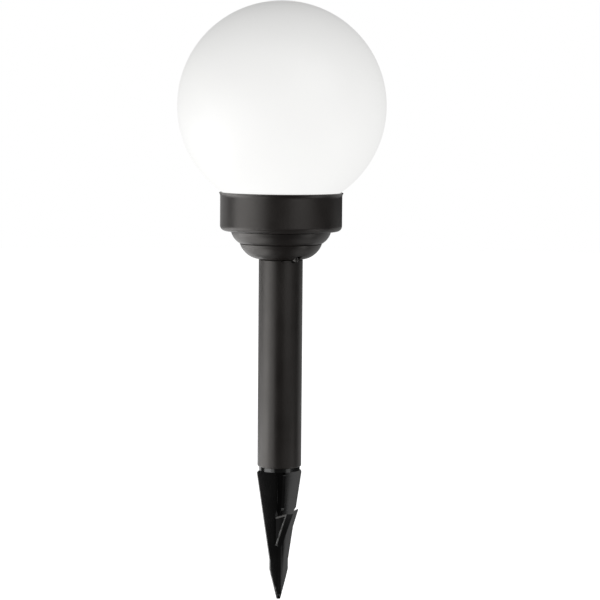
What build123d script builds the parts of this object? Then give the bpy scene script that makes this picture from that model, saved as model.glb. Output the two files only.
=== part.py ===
from build123d import *
import os
from math import cos, hypot, pi, radians, sin, sqrt

# Solar spike light: an opal globe in a dark collar, on a stepped base, a pole and a ground spike.
# Millimetres, +Z up. The origin is on the pole's axis at ground level, where the pole stands on the
# spike's shoulder. The front of the light faces -Y.

# Clearances
push_fit = 0.08
thread_fit = 0.04
glue_gap = 0.05
loose_gap = 0.4
seat_gap = 0.1
join_overlap = 0.3

# Pole
pole_diameter = 31.8
pole_wall = 1.8
pole_length = 151.0
pole_edge_radius = 1.2

# Ground spike: plug and shoulder
plug_length = 28.0
plug_wall = 2.2
plug_lead = 1.2
shoulder_diameter = 29.8
shoulder_height = 2.6

# Ground spike: fins, with depths measured down from ground level
fin_root_thickness = 3.0
fin_edge_thickness = 1.6
fin_turn = 18.0
fin_reach = 17.1
fin_corner_radius = 2.2
waist_reach = 6.8
waist_depth = 69.0
shank_depth = 75.8
spike_depth = 97.7
fin_root_radius = 0.4
tip_radius = 1.4

# Ground spike: barbs
barb_depth = 30.5
barb_reach = 14.6
barb_mouth = 2.0
barb_slope = 2.6
side_barb_root = 10.6
side_barb_length = 12.5
front_fin_reach = 13.4
front_fin_foot = 9.4
front_barb_length = 25.5
front_barb_drop = 0.6
front_barb_slope = 4.2

# Stepped base
base_wall = 1.8
base_height = 19.9
upper_step_height = 9.4
upper_step_radius = 36.0
upper_step_foot = 29.9
upper_step_bulge = 1.0
lower_step_radius = 29.5
lower_step_foot = 18.0
lower_step_bulge = 2.0
step_groove_depth = 0.45
step_groove_width = 0.6
rim_groove_depth = 0.9
rim_groove_width = 0.6
spigot_length = 28.0
spigot_wall = 1.6

# Locating pin, slotted, in an open pocket between the pole's top edge and the base's foot
pin_diameter = 4.0
pin_angle = -54.0
pin_rise = 0.3
pin_proud = 3.4
pin_edge_radius = 0.5
pin_slot_width = 0.8
pin_slot_depth = 0.9
pocket_gap = 0.7

# Collar
collar_diameter = 87.8
collar_height = 27.7
collar_wall = 2.0
collar_floor = 2.2
collar_edge_radius = 3.8
lip_flare = 0.8
lip_height = 3.4
lip_hollow = 0.25
lip_edge = 0.4
lip_land = 1.65

# Globe and the bayonet ring glued into its neck
globe_diameter = 150.0
globe_wall = 1.6
rim_gap = 0.4
bayonet_depth = 2.3
bayonet_count = 3
ring_height = 8.0
ring_lap = 3.5
ring_lap_wall = 1.0
lug_height = 2.6
lug_lift = 0.9
lug_span = 28.0
ledge_thickness = 2.2
ledge_span = 40.0
stop_span = 4.0
stop_gap = 2.0

# Deck and gasket
deck_space = 7.2
deck_thickness = 2.0
gasket_thickness = 1.7
gasket_width = 2.4

# Solar panel
panel_size = 48.0
panel_board_thickness = 1.6
panel_window_thickness = 1.4
cell_thickness = 0.3
cell_count = 4
cell_gap = 0.8
cell_border = 1.6
frame_wall = 1.2
frame_height = 1.0

# Lamps
led_diameter = 5.0
led_flange_diameter = 5.8
led_flange_height = 1.0
led_height = 8.6
led_offset = 31.0
lead_width = 0.5
lead_pitch = 2.54
lead_length = 4.2

# Screws: shank diameter, head diameter and head height
screw_diameter = 2.5
screw_head_diameter = 4.8
screw_head_height = 1.6
small_screw_diameter = 2.0
small_head_diameter = 3.6
small_head_height = 1.2
recess_width = 0.7
recess_depth = 0.7
recess_margin = 0.8
screw_bite = 4.5
boss_wall = 1.8
base_screw_count = 4
base_screw_circle = 30.2
base_screw_angle = 45.0
deck_screw_count = 3
deck_screw_circle = 33.0
deck_screw_angle = 30.0

# Circuit board, under the deck behind the battery
board_width = 36.0
board_depth = 22.0
board_thickness = 1.2
board_front = 12.0
post_height = 3.6
post_spacing = 20.0
post_inset = 3.0
chip_size = (5.0, 4.0, 1.5)
chip_place = (-9.0, 24.0)
inductor_diameter = 6.0
inductor_height = 3.2
inductor_groove = 1.0
inductor_place = (9.0, 24.0)
capacitor_size = (3.2, 1.6, 1.6)
capacitor_place = (0.0, 21.0)

# Slide switch
switch_inset = 3.0
switch_length = 9.0
switch_width = 4.6
switch_skin = 0.7
slider_knob = 2.0
slider_foot = 3.0
slider_foot_height = 0.8
slider_rise = 2.4
switch_travel = 2.4

# Battery, a rechargeable AAA cell, and its holder
battery_diameter = 10.5
battery_length = 44.5
battery_sleeve_wall = 0.15
battery_nub_diameter = 3.8
battery_nub_length = 0.8
holder_wall = 1.4
holder_depth = 7.0
holder_flange = 5.0
holder_side_flange = 2.4
contact_thickness = 0.4
contact_width = 8.0
contact_tail = 5.2

# Battery spring
spring_space = 4.2
spring_radius = 3.0
spring_wire = 0.5
spring_turns = 3

# Wires
wire_diameter = 1.0
wire_bend = 1.4
wire_sag = 2.0
solar_wire_spacing = 6.0
solar_wire_start = 7.0
solar_wire_pad = 15.5
battery_wire_out = 2.8
battery_wire_pad = 15.5
led_wire_far_pad = 24.0
led_wire_near_pad = 20.0
led_wire_turn = 2.8

# Radii worked out from the sizes above
pole_radius = pole_diameter / 2
pole_bore = pole_radius - pole_wall
plug_radius = pole_bore - push_fit
collar_radius = collar_diameter / 2
collar_bore = collar_radius - collar_wall
lip_radius = collar_radius + lip_flare
lip_bore = lip_radius - lip_land
globe_radius = globe_diameter / 2
neck_radius = collar_bore - bayonet_depth
neck_bore = neck_radius - globe_wall
lap_radius = neck_bore - glue_gap
ring_bore = lap_radius - ring_lap_wall
lug_radius = collar_bore - loose_gap
ledge_bore = neck_radius + loose_gap
deck_radius = ledge_bore - loose_gap
gasket_bore = deck_radius - gasket_width
screw_radius = screw_diameter / 2
small_screw_radius = small_screw_diameter / 2
boss_radius = screw_radius + boss_wall
pin_radius = pin_diameter / 2
fin_draft = (fin_root_thickness - fin_edge_thickness) / 2 / fin_reach
core_reach = (fin_root_thickness / 2 + fin_root_radius) / (1 + fin_draft)
post_radius = small_screw_radius + boss_wall
wire_radius = wire_diameter / 2

# Heights worked out from the sizes above
pin_height = pole_length + pin_rise
collar_bottom = pole_length + base_height
collar_top = collar_bottom + collar_height
floor_top = collar_bottom + collar_floor
deck_bottom = floor_top + deck_space
deck_top = deck_bottom + deck_thickness
ring_bottom = deck_top + gasket_thickness
ring_top = ring_bottom + ring_height
lug_bottom = ring_bottom + lug_lift
lug_top = lug_bottom + lug_height
ledge_bottom = lug_top + loose_gap
ledge_top = ledge_bottom + ledge_thickness
globe_centre = collar_top + sqrt(globe_radius**2 - (lip_bore - rim_gap) ** 2)
panel_top = deck_top + panel_board_thickness
board_top = deck_bottom - post_height
board_bottom = board_top - board_thickness
board_middle = board_front + board_depth / 2
switch_middle = board_front + board_depth - switch_inset
holder_bottom = floor_top - holder_depth
battery_axis = holder_bottom + seat_gap + battery_diameter / 2

# Lengths along the battery holder, which is centred on the pole's axis
holder_length = 2 * contact_thickness + battery_length + spring_space + seat_gap
holder_end = holder_length / 2
holder_half_width = battery_diameter / 2 + seat_gap
battery_tip = holder_end - contact_thickness - seat_gap
battery_base = battery_tip - battery_length
contact_top = floor_top + contact_tail

STANDING = (Align.CENTER, Align.CENTER, Align.MIN)
HANGING = (Align.CENTER, Align.CENTER, Align.MAX)
INWARD = (Align.MAX, Align.CENTER, Align.CENTER)


def circle_places(count, radius, first_angle):
    """Points evenly spaced on a circle."""
    angles = [radians(first_angle + 360 / count * step) for step in range(count)]
    return [(radius * cos(angle), radius * sin(angle)) for angle in angles]


base_screw_places = circle_places(base_screw_count, base_screw_circle, base_screw_angle)
deck_screw_places = circle_places(deck_screw_count, deck_screw_circle, deck_screw_angle)
holder_screw_places = [(side * (holder_end + holder_wall + holder_flange / 2), 0) for side in (1, -1)]
board_screw_places = [(side * post_spacing / 2, board_front + post_inset) for side in (1, -1)]
led_places = [(side * led_offset, 0) for side in (1, -1)]


def turned(outline):
    """Solid of revolution about the pole's axis from a closed outline of (radius, height) edges."""
    return revolve(Plane.XZ * make_face(outline), Axis.Z)


def ring(inner_radius, outer_radius, bottom, top):
    """Plain ring about the pole's axis."""
    height = top - bottom
    blank = Cylinder(outer_radius, height, align=STANDING) - Cylinder(inner_radius, height, align=STANDING)
    return Pos(0, 0, bottom) * blank


def ring_sector(inner_radius, outer_radius, bottom, top, first_angle, span):
    """Part of a ring about the pole's axis, running counter-clockwise from first_angle."""
    middle = Pos((inner_radius + outer_radius) / 2, (bottom + top) / 2)
    section = Plane.XZ * middle * Rectangle(outer_radius - inner_radius, top - bottom)
    return Rot(0, 0, first_angle) * revolve(section, Axis.Z, span)


def box_between(corner, opposite):
    """Box given by two opposite corners."""
    size = [high - low for low, high in zip(corner, opposite)]
    return Pos(*corner) * Box(*size, align=Align.MIN)


def drilled(places, radius, bottom, top):
    """Upright cylinders to cut or to add, one at each place."""
    return [Pos(x, y, bottom) * Cylinder(radius, top - bottom, align=STANDING) for x, y in places]


def bulged(start, end, depth):
    """Arc from start to end whose middle lies the given depth to the right of the chord."""
    chord = Vector(*end) - Vector(*start)
    outward = Vector(chord.Y, -chord.X).normalized()
    middle = (Vector(*start) + Vector(*end)) / 2 + outward * depth
    return ThreePointArc(start, middle, end)


def screws(places, seat, length, radius, head_radius, head_height):
    """Cross-head screws driven downwards, with the undersides of their heads at the seat."""
    shank = Cylinder(radius, length, align=HANGING)
    head = Cylinder(head_radius, head_height, align=STANDING)
    head = fillet(head.edges().group_by(Axis.Z)[-1], head_height / 2)
    slot = Box(2 * (head_radius - recess_margin), recess_width, recess_depth, align=HANGING)
    cross = Pos(0, 0, head_height) * (slot + Rot(0, 0, 90) * slot)
    screw = shank + head - cross
    return Part() + [Pos(x, y, seat) * screw for x, y in places]


# Ground spike

def fin_outline():
    """Plain fin: a straight taper to the waist, a short shank and a point."""
    return [
        (0, -shoulder_height),
        (fin_reach, -shoulder_height),
        (waist_reach, -waist_depth),
        (waist_reach, -shank_depth),
        (tip_radius, -spike_depth),
        (0, -spike_depth),
    ]


def taper_reach(depth):
    """Reach of the plain fin at a depth between its top and its waist."""
    share = (depth - shoulder_height) / (waist_depth - shoulder_height)
    return fin_reach + share * (waist_reach - fin_reach)


def side_fin_outline():
    """Fin with a barb that stands out beyond the taper and runs back into it."""
    plain = fin_outline()
    merge_depth = barb_depth + barb_mouth + side_barb_length
    barb = [
        (taper_reach(barb_depth), -barb_depth),
        (side_barb_root, -barb_depth - barb_mouth - barb_slope / 2),
        (barb_reach, -barb_depth - barb_mouth),
        (taper_reach(merge_depth), -merge_depth),
    ]
    return plain[:2] + barb + plain[2:]


def front_fin_outline():
    """Narrow fin cut through to the core above a long barb that runs back to the core."""
    barb_top = barb_depth + barb_mouth + front_barb_drop
    return [
        (0, -shoulder_height),
        (front_fin_reach, -shoulder_height),
        (front_fin_foot, -barb_depth),
        (core_reach, -barb_top - front_barb_slope),
        (barb_reach, -barb_top),
        (core_reach, -barb_top - front_barb_length),
        (tip_radius, -spike_depth),
        (0, -spike_depth),
    ]


def fin(outline, direction):
    """Fin with a rounded top corner, thinner towards its edge, standing out in the given direction."""
    face = make_face(Polyline(*outline, close=True))
    corner = face.vertices().sort_by_distance((outline[1][0], outline[1][1], 0))[0]
    face = fillet(corner, fin_corner_radius)
    plate = extrude(Plane.XZ * face, fin_root_thickness, both=True)
    plan = make_face(Polyline(
        (0, -fin_root_thickness / 2),
        (fin_reach, -fin_edge_thickness / 2),
        (fin_reach, fin_edge_thickness / 2),
        (0, fin_root_thickness / 2),
        close=True,
    ))
    wedge = Pos(0, 0, -spike_depth) * extrude(plan, spike_depth)
    return Rot(0, 0, direction) * (plate & wedge)


def spike_core():
    """Middle of the spike, hollowed between the fins so that their roots are rounded."""
    sides = (core_reach, -core_reach)
    hollows = [Pos(x, y) * Circle(fin_root_radius) for x in sides for y in sides]
    plan = Rectangle(2 * core_reach, 2 * core_reach) - hollows
    return Rot(0, 0, fin_turn) * Pos(0, 0, -spike_depth) * extrude(plan, spike_depth)


def ground_spike():
    plug = ring(plug_radius - plug_wall, plug_radius, -join_overlap, plug_length)
    plug = chamfer(plug.edges().group_by(Axis.Z)[-1].sort_by(SortBy.RADIUS)[-1], plug_lead)
    shoulder = Cylinder(shoulder_diameter / 2, shoulder_height, align=HANGING)
    fins = [
        fin(front_fin_outline(), fin_turn - 90),
        fin(side_fin_outline(), fin_turn),
        fin(fin_outline(), fin_turn + 90),
        fin(fin_outline(), fin_turn + 180),
    ]
    point_radius = hypot(waist_reach, fin_edge_thickness)
    envelope = turned(Polyline(
        (0, -shoulder_height / 2),
        (2 * fin_reach, -shoulder_height / 2),
        (2 * fin_reach, -shank_depth),
        (point_radius, -shank_depth),
        (tip_radius, -spike_depth),
        (0, -spike_depth),
        close=True,
    ))
    return plug + shoulder + (spike_core() + fins & envelope)


# Pole

def pole_tube():
    wall = Pos(pole_radius - pole_wall / 2, pole_length / 2) * Rectangle(pole_wall, pole_length)
    outer_corners = wall.vertices().group_by(Axis.X)[-1]
    tube = revolve(Plane.XZ * fillet(outer_corners, pole_edge_radius), Axis.Z)
    notch = Cylinder(pin_radius + pocket_gap, 2 * pole_radius, align=STANDING)
    return tube - Pos(0, 0, pin_height) * Rot(0, 0, pin_angle) * Rot(0, 90, 0) * notch


# Stepped base and its locating pin

def base_form(inset):
    """Outer form of the stepped base, or its hollow when set in by the wall."""
    step_height = collar_bottom - upper_step_height
    foot = (lower_step_foot - inset, pole_length + inset)
    lower = (lower_step_radius - inset, step_height)
    groove = (lower_step_radius - inset - step_groove_depth, step_height + step_groove_width / 2)
    upper = (upper_step_foot - inset, step_height + step_groove_width)
    rim = (upper_step_radius - inset, collar_bottom - rim_groove_width)
    neck = (upper_step_radius - inset - rim_groove_depth, collar_bottom)
    return turned([
        Line((0, pole_length + inset), foot),
        bulged(foot, lower, lower_step_bulge),
        Line(lower, groove),
        Line(groove, upper),
        bulged(upper, rim, upper_step_bulge),
        Line(rim, neck),
        Line(neck, (0, collar_bottom)),
        Line((0, collar_bottom), (0, pole_length + inset)),
    ])


def stepped_base():
    outside = base_form(0)
    bosses = drilled(base_screw_places, boss_radius, collar_bottom - screw_bite - boss_wall, collar_bottom)
    shell = outside - base_form(base_wall) + (outside & (Part() + bosses))
    shell -= drilled(base_screw_places, screw_radius + thread_fit, collar_bottom - screw_bite, collar_bottom)
    spigot_end = pole_length - spigot_length
    spigot = ring(plug_radius - spigot_wall, plug_radius, spigot_end, pole_length + join_overlap)
    spigot = chamfer(spigot.edges().group_by(Axis.Z)[0].sort_by(SortBy.RADIUS)[-1], plug_lead / 2)
    pin_start = plug_radius - spigot_wall
    pin_boss = pin_blank(pin_radius + pocket_gap + spigot_wall, pin_start, lower_step_radius)
    hole = pin_blank(pin_radius + thread_fit, pin_start, lower_step_radius)
    pocket = pin_blank(pin_radius + pocket_gap, plug_radius, lower_step_radius)
    return shell + (outside & pin_boss) + spigot - hole - pocket


def pin_blank(radius, start, end):
    """Bar lying outwards at the pin's angle, between two distances from the pole's axis."""
    bar = Cylinder(radius, end - start, align=STANDING)
    return Pos(0, 0, pin_height) * Rot(0, 0, pin_angle) * Rot(0, 90, 0) * Pos(0, 0, start) * bar


def locating_pin():
    """Pin with a rounded end and an upright slot across it."""
    end = pole_radius + pin_proud
    pin = pin_blank(pin_radius, plug_radius - spigot_wall, end)
    pin = fillet(pin.edges().sort_by_distance((0, 0, pole_length))[-1], pin_edge_radius)
    slot = Box(pin_slot_depth, pin_slot_width, 2 * pin_diameter, align=INWARD)
    return pin - Pos(0, 0, pin_height) * Rot(0, 0, pin_angle) * Pos(end, 0, 0) * slot


# Collar

def collar_form():
    """Cup with a rounded bottom edge and a flared lip, bevelled inside to clear the globe."""
    edge = collar_edge_radius
    corner = edge * (1 - sqrt(0.5))
    bevel = lip_bore - collar_bore
    lip_bottom = collar_top - lip_height
    lip_side = collar_top - lip_edge
    outline = [
        Line((0, collar_bottom), (collar_radius - edge, collar_bottom)),
        ThreePointArc(
            (collar_radius - edge, collar_bottom),
            (collar_radius - corner, collar_bottom + corner),
            (collar_radius, collar_bottom + edge),
        ),
        Line((collar_radius, collar_bottom + edge), (collar_radius, lip_bottom)),
        bulged((collar_radius, lip_bottom), (lip_radius, lip_side), -lip_hollow),
        Polyline(
            (lip_radius, lip_side),
            (lip_radius - lip_edge, collar_top),
            (lip_bore, collar_top),
            (collar_bore, collar_top - bevel),
            (collar_bore, floor_top),
            (0, floor_top),
            (0, collar_bottom),
        ),
    ]
    return turned(outline)


def collar_housing():
    cup = collar_form()
    cup += drilled(deck_screw_places, boss_radius, floor_top - join_overlap, deck_bottom)
    for step in range(bayonet_count):
        start = 360 / bayonet_count * step
        wall = collar_bore + join_overlap
        cup += ring_sector(ledge_bore, wall, ledge_bottom, ledge_top, start, ledge_span)
        cup += ring_sector(ledge_bore, wall, lug_bottom, ledge_top, start - stop_span, stop_span)
    cup -= drilled(deck_screw_places, screw_radius + thread_fit, deck_bottom - screw_bite, deck_bottom)
    cup -= drilled(base_screw_places, screw_radius + seat_gap, collar_bottom, floor_top)
    cup -= drilled(holder_screw_places, small_screw_radius + thread_fit, collar_bottom, floor_top)
    half_length = holder_end + holder_wall + loose_gap
    half_width = holder_half_width + holder_wall + loose_gap
    well = box_between((-half_length, -half_width, collar_bottom), (half_length, half_width, floor_top))
    return cup - well


# Globe, bayonet ring and gasket

def globe_diffuser():
    inner_radius = globe_radius - globe_wall
    outer_join = globe_centre - sqrt(globe_radius**2 - neck_radius**2)
    inner_join = globe_centre - sqrt(inner_radius**2 - neck_bore**2)
    top = globe_centre + globe_radius
    return turned([
        Line((neck_radius, ring_top), (neck_radius, outer_join)),
        ThreePointArc((neck_radius, outer_join), (globe_radius, globe_centre), (0, top)),
        Line((0, top), (0, top - globe_wall)),
        ThreePointArc((0, top - globe_wall), (inner_radius, globe_centre), (neck_bore, inner_join)),
        Line((neck_bore, inner_join), (neck_bore, ring_top)),
        Line((neck_bore, ring_top), (neck_radius, ring_top)),
    ])


def bayonet_ring():
    """Ring with a lap inside the globe's neck and lugs that turn under the collar's ledges."""
    band = ring(ring_bore, neck_radius, ring_bottom, ring_top)
    band += ring(ring_bore, lap_radius, ring_top - join_overlap, ring_top + ring_lap)
    for step in range(bayonet_count):
        start = 360 / bayonet_count * step + stop_gap
        band += ring_sector(neck_radius - join_overlap, lug_radius, lug_bottom, lug_top, start, lug_span)
    return band


def globe_gasket():
    return ring(gasket_bore, deck_radius, deck_top, ring_bottom)


# Deck and solar panel

def solar_deck():
    deck = Pos(0, 0, deck_bottom) * Cylinder(deck_radius, deck_thickness, align=STANDING)
    frame_bore = panel_size / 2 + seat_gap
    frame_edge = frame_bore + frame_wall
    rim = box_between((-frame_edge, -frame_edge, deck_top), (frame_edge, frame_edge, deck_top + frame_height))
    deck += rim - box_between((-frame_bore, -frame_bore, deck_top), (frame_bore, frame_bore, panel_top))
    deck += drilled(board_screw_places, post_radius, board_top, deck_bottom + join_overlap)
    deck -= drilled(board_screw_places, small_screw_radius + thread_fit, board_top, deck_bottom)
    deck -= drilled(deck_screw_places, screw_radius + seat_gap, deck_bottom, deck_top)
    solar_holes = [(side * solar_wire_spacing / 2, solar_wire_start) for side in (1, -1)]
    deck -= drilled(solar_holes, wire_radius + seat_gap, deck_bottom, deck_top)
    for x, y in lead_places():
        half = lead_width / 2 + seat_gap
        deck -= box_between((x - half, y - half, deck_bottom), (x + half, y + half, deck_top))
    half_slot = (slider_knob + switch_travel) / 2 + loose_gap
    half_knob = slider_knob / 2 + loose_gap
    slot_corner = (-half_slot, switch_middle - half_knob, deck_bottom)
    return deck - box_between(slot_corner, (half_slot, switch_middle + half_knob, deck_top))


def deck_screws():
    length = deck_thickness + screw_bite - seat_gap
    head = (screw_head_diameter / 2, screw_head_height)
    return screws(deck_screw_places, deck_top, length, screw_radius, *head)


def base_screws():
    length = collar_floor + screw_bite - seat_gap
    head = (screw_head_diameter / 2, screw_head_height)
    return screws(base_screw_places, floor_top, length, screw_radius, *head)


def panel_board():
    return Pos(0, 0, deck_top) * Box(panel_size, panel_size, panel_board_thickness, align=STANDING)


def cell_strips(growth):
    """Upright strips of the solar cells, each grown on all its sides but the bottom."""
    pitch = (panel_size - 2 * cell_border + cell_gap) / cell_count
    length = panel_size - 2 * cell_border + 2 * growth
    strip = Box(pitch - cell_gap + 2 * growth, length, cell_thickness + growth, align=STANDING)
    return [Pos((step - (cell_count - 1) / 2) * pitch, 0, panel_top) * strip for step in range(cell_count)]


def solar_cells():
    return Part() + cell_strips(0)


def panel_window():
    sheet = Pos(0, 0, panel_top) * Box(panel_size, panel_size, panel_window_thickness, align=STANDING)
    return sheet - cell_strips(seat_gap)


# Lamps

def lead_places():
    """Centres of the legs of both lamps."""
    return [(x, y + side * lead_pitch / 2) for x, y in led_places for side in (1, -1)]


def led_lenses():
    radius = led_diameter / 2
    flange = Cylinder(led_flange_diameter / 2, led_flange_height, align=STANDING)
    barrel = Cylinder(radius, led_height - radius, align=STANDING)
    dome = Pos(0, 0, led_height - radius) * Sphere(radius)
    return Part() + [Pos(x, y, deck_top) * (flange + barrel + dome) for x, y in led_places]


def led_leads():
    leg = Box(lead_width, lead_width, lead_length, align=HANGING)
    return Part() + [Pos(x, y, deck_top) * leg for x, y in lead_places()]


# Circuit board and switch

def circuit_board():
    blank = Box(board_width, board_depth, board_thickness, align=STANDING)
    board = Pos(0, board_middle, board_bottom) * blank
    return board - drilled(board_screw_places, small_screw_radius + seat_gap, board_bottom, board_top)


def board_screws():
    length = board_thickness + post_height - seat_gap
    upright = screws([(0, 0)], 0, length, small_screw_radius, small_head_diameter / 2, small_head_height)
    upturned = Pos(0, 0, board_bottom) * Rot(180, 0, 0) * upright
    return Part() + [Pos(x, y, 0) * upturned for x, y in board_screw_places]


def driver_chip():
    return Pos(*chip_place, board_top) * Box(*chip_size, align=STANDING)


def inductor():
    radius = inductor_diameter / 2
    drum = Cylinder(radius, inductor_height, align=STANDING)
    flange = (inductor_height - inductor_groove) / 2
    groove = ring(radius - inductor_groove, radius + seat_gap, flange, flange + inductor_groove)
    return Pos(*inductor_place, board_top) * (drum - groove)


def capacitor():
    return Pos(*capacitor_place, board_top) * Box(*capacitor_size, align=STANDING)


def switch_body():
    height = post_height - seat_gap
    body = Pos(0, switch_middle, board_top) * Box(switch_length, switch_width, height, align=STANDING)
    floor = board_top + switch_skin
    half_run = (slider_foot + switch_travel) / 2 + seat_gap
    half_foot = slider_foot / 2 + seat_gap
    foot_top = floor + slider_foot_height + 2 * seat_gap
    body -= box_between(
        (-half_run, switch_middle - half_foot, floor), (half_run, switch_middle + half_foot, foot_top))
    half_slot = (slider_knob + switch_travel) / 2 + seat_gap
    half_knob = slider_knob / 2 + seat_gap
    return body - box_between(
        (-half_slot, switch_middle - half_knob, foot_top),
        (half_slot, switch_middle + half_knob, board_top + height))


def switch_slider():
    """Slider in its off position, at the -X end of the travel."""
    floor = board_top + switch_skin + seat_gap
    foot = Box(slider_foot, slider_foot, slider_foot_height, align=STANDING)
    knob = Box(slider_knob, slider_knob, deck_top + slider_rise - floor, align=STANDING)
    return Pos(-switch_travel / 2, switch_middle, floor) * (foot + knob)


# Battery, holder and contacts

def battery_holder():
    half_width = holder_half_width + holder_wall
    end = holder_end + holder_wall
    flange_top = floor_top + holder_wall
    tray = box_between((-end, -half_width, holder_bottom - holder_wall), (end, half_width, flange_top))
    flange_end = end + holder_flange
    flange_side = half_width + holder_side_flange
    tray += box_between((-flange_end, -flange_side, floor_top), (flange_end, flange_side, flange_top))
    tray -= box_between(
        (-holder_end, -holder_half_width, holder_bottom), (holder_end, holder_half_width, flange_top))
    return tray - drilled(holder_screw_places, small_screw_radius + seat_gap, floor_top, flange_top)


def holder_screws():
    seat = floor_top + holder_wall
    length = holder_wall + collar_floor
    return screws(
        holder_screw_places, seat, length, small_screw_radius, small_head_diameter / 2, small_head_height)


def along_holder(start, radius, length):
    """Bar lying along the battery's axis, from start towards the positive end."""
    return Pos(start, 0, battery_axis) * Rot(0, 90, 0) * Cylinder(radius, length, align=STANDING)


def battery_cell():
    radius = battery_diameter / 2 - battery_sleeve_wall
    can_length = battery_length - battery_nub_length
    return along_holder(battery_base, radius, can_length) + along_holder(
        battery_base, battery_nub_diameter / 2, battery_length)


def battery_sleeve():
    can_length = battery_length - battery_nub_length
    outside = along_holder(battery_base, battery_diameter / 2, can_length)
    return outside - along_holder(battery_base, battery_diameter / 2 - battery_sleeve_wall, can_length)


def contact_plates():
    plates = []
    for side in (1, -1):
        outer = side * holder_end
        inner = outer - side * contact_thickness
        low = (min(outer, inner), -contact_width / 2, holder_bottom)
        plates.append(box_between(low, (max(outer, inner), contact_width / 2, contact_top)))
    return Part() + plates


def biarc(start, start_direction, end, end_direction):
    """Two tangent arcs between two points, leaving and arriving in the given unit directions."""
    chord = end - start
    both = start_direction + end_direction
    square = both.dot(both) - 4
    linear = -2 * chord.dot(both)
    reach = (-linear - sqrt(linear**2 - 4 * square * chord.dot(chord))) / (2 * square)
    first_corner = start + start_direction * reach
    second_corner = end - end_direction * reach
    middle = (first_corner + second_corner) / 2
    return [
        Edge.make_tangent_arc(start, start_direction, middle),
        Edge.make_tangent_arc(middle, second_corner - first_corner, end),
    ]


def spring_path():
    """Wire's middle line: a coil along the battery's axis with a straight stretch at each end."""
    first = -holder_end + contact_thickness + seat_gap + spring_wire / 2
    last = battery_base - seat_gap - spring_wire / 2
    advance = (last - first) / (2 * pi * spring_turns)
    slant = hypot(spring_radius, advance)

    def place(angle):
        return Vector(
            first + advance * angle, spring_radius * cos(angle), battery_axis + spring_radius * sin(angle))

    def direction(angle):
        return Vector(advance, -spring_radius * sin(angle), spring_radius * cos(angle)) / slant

    angles = [pi / 2 * step for step in range(4 * spring_turns + 1)]
    edges = [Line(place(0) - direction(0) * spring_wire, place(0))]
    for here, there in zip(angles, angles[1:]):
        edges += biarc(place(here), direction(here), place(there), direction(there))
    last_angle = angles[-1]
    edges.append(Line(place(last_angle), place(last_angle) + direction(last_angle) * spring_wire))
    return Wire(edges)


def least_gap(path, wire, turns):
    """Least clear distance between stretches of a coil that lie at least half a turn apart."""
    count = 60 * turns
    points = [path @ (step / count) for step in range(count + 1)]
    half_turn = count // (2 * turns)
    pairs = [
        (points[first] - points[second]).length
        for first in range(count + 1) for second in range(first + half_turn, count + 1)
    ]
    return min(pairs) - wire


def battery_spring():
    path = spring_path()
    print(f"battery_spring: least gap to itself {least_gap(path, spring_wire, spring_turns):.2f} mm")
    return sweep(Plane(origin=path @ 0, z_dir=path % 0) * Circle(spring_wire / 2), path=path)


# Wires

def wire_run(points):
    """Round wire along straight runs joined by tangent arcs."""
    path = FilletPolyline(*points, radius=wire_bend)
    return sweep(Plane(origin=path @ 0, z_dir=path % 0) * Circle(wire_radius), path=path)


def solar_wire(side):
    """Wire from under the panel, through the deck and onto the board."""
    x = side * solar_wire_spacing / 2
    level = deck_bottom - wire_sag / 2
    return wire_run([
        (x, solar_wire_start, deck_top),
        (x, solar_wire_start, level),
        (x, solar_wire_pad, level),
        (x, solar_wire_pad, board_top),
    ])


def battery_wire(side):
    """Wire from the contact plate's tail round the deck boss and onto the board."""
    level = board_top + wire_radius
    out = holder_end + battery_wire_out
    pad = board_width / 2 - 2 * wire_diameter
    return wire_run([
        (side * holder_end, 0, level),
        (side * out, 0, level),
        (side * out, holder_half_width, level),
        (side * (board_width / 2 + wire_bend), battery_wire_pad, level),
        (side * pad, battery_wire_pad, level),
    ])


def led_wires():
    """Wires from the inner sides of the lamps' legs onto the board, above the battery's wires."""
    level = deck_bottom - lead_width - wire_radius
    runs = []
    for x, y in lead_places():
        side = 1 if x > 0 else -1
        turn = led_offset - (led_wire_turn if y > 0 else 2 * led_wire_turn)
        pad = board_width / 2 - 2 * wire_diameter
        pad_y = led_wire_far_pad if y > 0 else led_wire_near_pad
        runs.append(wire_run([
            (x - side * lead_width / 2, y, level),
            (side * turn, y, level),
            (side * pad, pad_y, level),
            (side * pad, pad_y, board_top),
        ]))
    return Part() + runs


nodes = {
    "ground_spike": ground_spike(),
    "pole_tube": pole_tube(),
    "stepped_base": stepped_base(),
    "locating_pin": locating_pin(),
    "collar_housing": collar_housing(),
    "base_screws": base_screws(),
    "globe_diffuser": globe_diffuser(),
    "bayonet_ring": bayonet_ring(),
    "globe_gasket": globe_gasket(),
    "solar_deck": solar_deck(),
    "deck_screws": deck_screws(),
    "panel_board": panel_board(),
    "solar_cells": solar_cells(),
    "panel_window": panel_window(),
    "led_lenses": led_lenses(),
    "led_leads": led_leads(),
    "circuit_board": circuit_board(),
    "board_screws": board_screws(),
    "driver_chip": driver_chip(),
    "inductor": inductor(),
    "capacitor": capacitor(),
    "switch_body": switch_body(),
    "switch_slider": switch_slider(),
    "battery_holder": battery_holder(),
    "holder_screws": holder_screws(),
    "battery_cell": battery_cell(),
    "battery_sleeve": battery_sleeve(),
    "battery_spring": battery_spring(),
    "contact_plates": contact_plates(),
    "solar_wire_red": solar_wire(1),
    "solar_wire_black": solar_wire(-1),
    "battery_wire_red": battery_wire(1),
    "battery_wire_black": battery_wire(-1),
    "led_wires": led_wires(),
}

os.makedirs("parts", exist_ok=True)
for name, shape in nodes.items():
    export_step(shape, f"parts/{name}.step")
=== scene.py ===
from math import acos, atan2, cos, degrees, pi, radians, sin

import bmesh
import bpy
from mathutils import Matrix, Vector


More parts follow.
